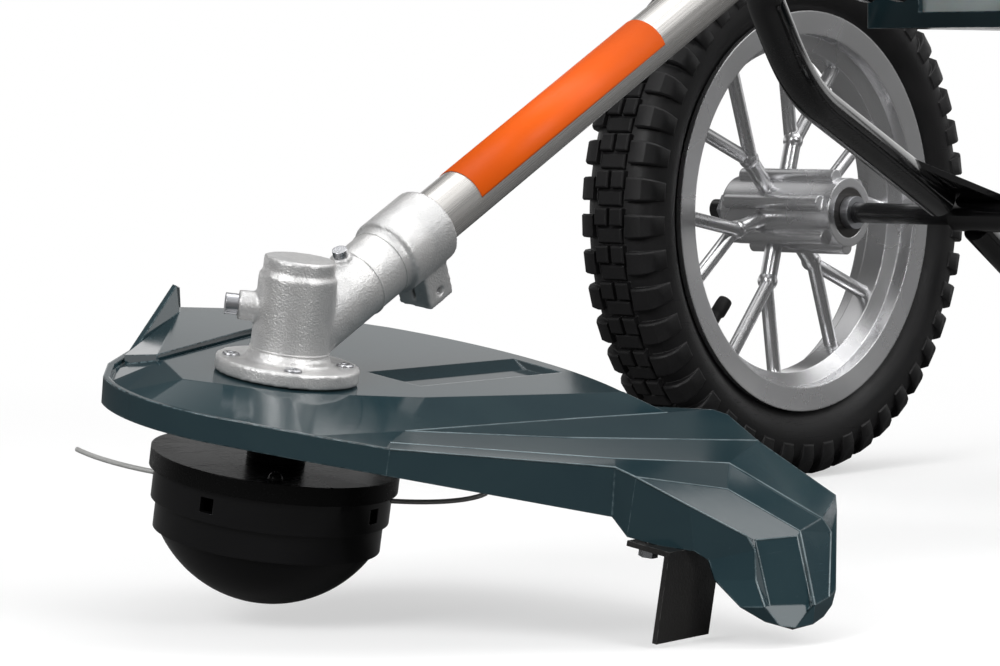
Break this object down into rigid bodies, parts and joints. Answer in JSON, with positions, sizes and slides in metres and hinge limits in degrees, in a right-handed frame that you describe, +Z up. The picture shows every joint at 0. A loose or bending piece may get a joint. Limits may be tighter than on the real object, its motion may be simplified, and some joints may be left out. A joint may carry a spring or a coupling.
{
  "type": "wheeled string trimmer",
  "caption": "Walk-behind string trimmer: bump-feed head under a gear case and plastic guard, straight shaft, spoked wheels, small engine and push handlebar.",
  "frame": {"origin": "on the floor under the middle of the axle", "axes": "+X forward to the trimmer head, +Y to the left, +Z up"},
  "size_m": [1.53, 0.688, 0.9417],
  "materials": {
    "alloy_cast": "sand cast",
    "alloy_polished": "polished",
    "steel": "bright",
    "guard_plastic": "gloss moulded",
    "black_plastic": "gloss moulded",
    "black_paint": "gloss paint",
    "blade_black": "satin black",
    "sleeve_orange": "printed film",
    "tread_rubber": "matt",
    "grip_rubber": "matt",
    "nylon": "translucent",
    "tank_plastic": "milky",
    "button_red": "gloss",
    "dark_metal": "dark"
  },
  "bodies": {
    "frame": {"gear_case": "alloy_cast", "case_screws": "steel", "gear_bearings": "steel", "guard": "guard_plastic", "guard_screws": "steel", "line_cutter": "blade_black", "cutter_screw": "steel", "shaft_tube": "alloy_polished", "shaft_sleeve": "sleeve_orange", "shaft_bushes": "nylon", "clamp_lower": "alloy_cast", "clamp_upper": "alloy_cast", "clamp_bolts": "steel", "saddle_plate": "black_paint", "right_strut": "black_paint", "left_strut": "black_paint", "axle_tube": "black_paint", "axle": "black_paint", "axle_hardware": "steel", "rear_stand": "black_paint", "handle_legs": "black_paint", "handlebar": "black_paint", "handle_knobs": "black_plastic", "grips": "grip_rubber", "throttle_body": "black_plastic", "throttle_cable": "black_plastic", "clutch_housing": "alloy_cast", "crankcase": "alloy_cast", "cylinder_head": "alloy_cast", "spark_plug": "black_plastic", "muffler": "dark_metal", "carburettor": "alloy_cast", "starter_housing": "black_plastic", "fuel_tank": "tank_plastic", "tank_guard": "guard_plastic"},
    "head": {"output_gear": "steel", "arbor": "steel", "head_cover": "black_plastic", "head_body": "black_plastic", "cutting_line": "nylon", "spool_spring": "steel"},
    "bump": {"bump_cap": "black_plastic", "spool": "sleeve_orange"},
    "drive": {"drive_shaft": "steel", "pinion": "steel", "clutch_drum": "steel"},
    "crank": {"crankshaft": "steel"},
    "right_wheel": {"right_rim": "alloy_polished", "right_tyre": "tread_rubber", "right_bearings": "dark_metal"},
    "left_wheel": {"left_rim": "alloy_polished", "left_tyre": "tread_rubber", "left_bearings": "dark_metal"},
    "trigger": {"throttle_trigger": "black_plastic"},
    "lockout": {"lockout_lever": "black_plastic"},
    "switch": {"stop_switch": "button_red"},
    "choke": {"choke_lever": "sleeve_orange"},
    "primer": {"primer_bulb": "nylon"},
    "starter": {"starter_handle": "black_plastic"},
    "cap": {"fuel_cap": "black_plastic"}
  },
  "joints": [
    {"name": "head_spin", "type": "hinge", "parent": "frame", "child": "head", "pos_m": [0.736, 0, 0.136], "axis": [-0.0077, 0.1677, 0.9858], "continuous": true},
    {"name": "bump_feed", "type": "slide", "parent": "head", "child": "bump", "axis": [-0.0077, 0.1677, 0.9858], "range_m": [0, 0.006], "stiffness_N_per_m": 900, "deforming": ["spool_spring"]},
    {"name": "drive_spin", "type": "hinge", "parent": "frame", "child": "drive", "pos_m": [0.736, 0, 0.136], "axis": [-0.8788, 0, 0.4772], "continuous": true},
    {"name": "crank_spin", "type": "hinge", "parent": "frame", "child": "crank", "pos_m": [0.736, 0, 0.136], "axis": [-0.8788, 0, 0.4772], "continuous": true},
    {"name": "right_wheel_spin", "type": "hinge", "parent": "frame", "child": "right_wheel", "pos_m": [0, -0.29, 0.1725], "axis": [0, 1, 0], "continuous": true},
    {"name": "left_wheel_spin", "type": "hinge", "parent": "frame", "child": "left_wheel", "pos_m": [0, 0.29, 0.1725], "axis": [0, 1, 0], "continuous": true},
    {"name": "trigger_pull", "type": "hinge", "parent": "frame", "child": "trigger", "pos_m": [-0.58808, -0.11424, 0.85847], "axis": [-0.2873, 0.9578, 0], "range_deg": [0, 9], "stiffness_Nm_per_rad": 0.5},
    {"name": "lockout_press", "type": "slide", "parent": "frame", "child": "lockout", "axis": [-0.3259, -0.0978, -0.9403], "range_m": [0, 0.003], "stiffness_N_per_m": 600},
    {"name": "switch_slide", "type": "slide", "parent": "frame", "child": "switch", "axis": [-0.9007, -0.2702, 0.3403], "range_m": [0, 0.004]},
    {"name": "choke_turn", "type": "hinge", "parent": "frame", "child": "choke", "pos_m": [0.26116, -0.0821, 0.49395], "axis": [0, 1, 0], "range_deg": [0, 70]},
    {"name": "primer_press", "type": "slide", "parent": "frame", "child": "primer", "axis": [0, 1, 0], "range_m": [0, 0.004], "stiffness_N_per_m": 800},
    {"name": "starter_pull", "type": "slide", "parent": "frame", "child": "starter", "axis": [0.4772, 0, 0.8788], "range_m": [0, 0.4], "stiffness_N_per_m": 20},
    {"name": "cap_turn", "type": "hinge", "parent": "frame", "child": "cap", "pos_m": [0.096, 0.026, 0.334], "axis": [0, 0, 1], "range_deg": [0, 180]}
  ],
  "couplings": [
    {"joint": "drive_spin", "follows": "head_spin", "ratio": -1.2667}
  ]
}
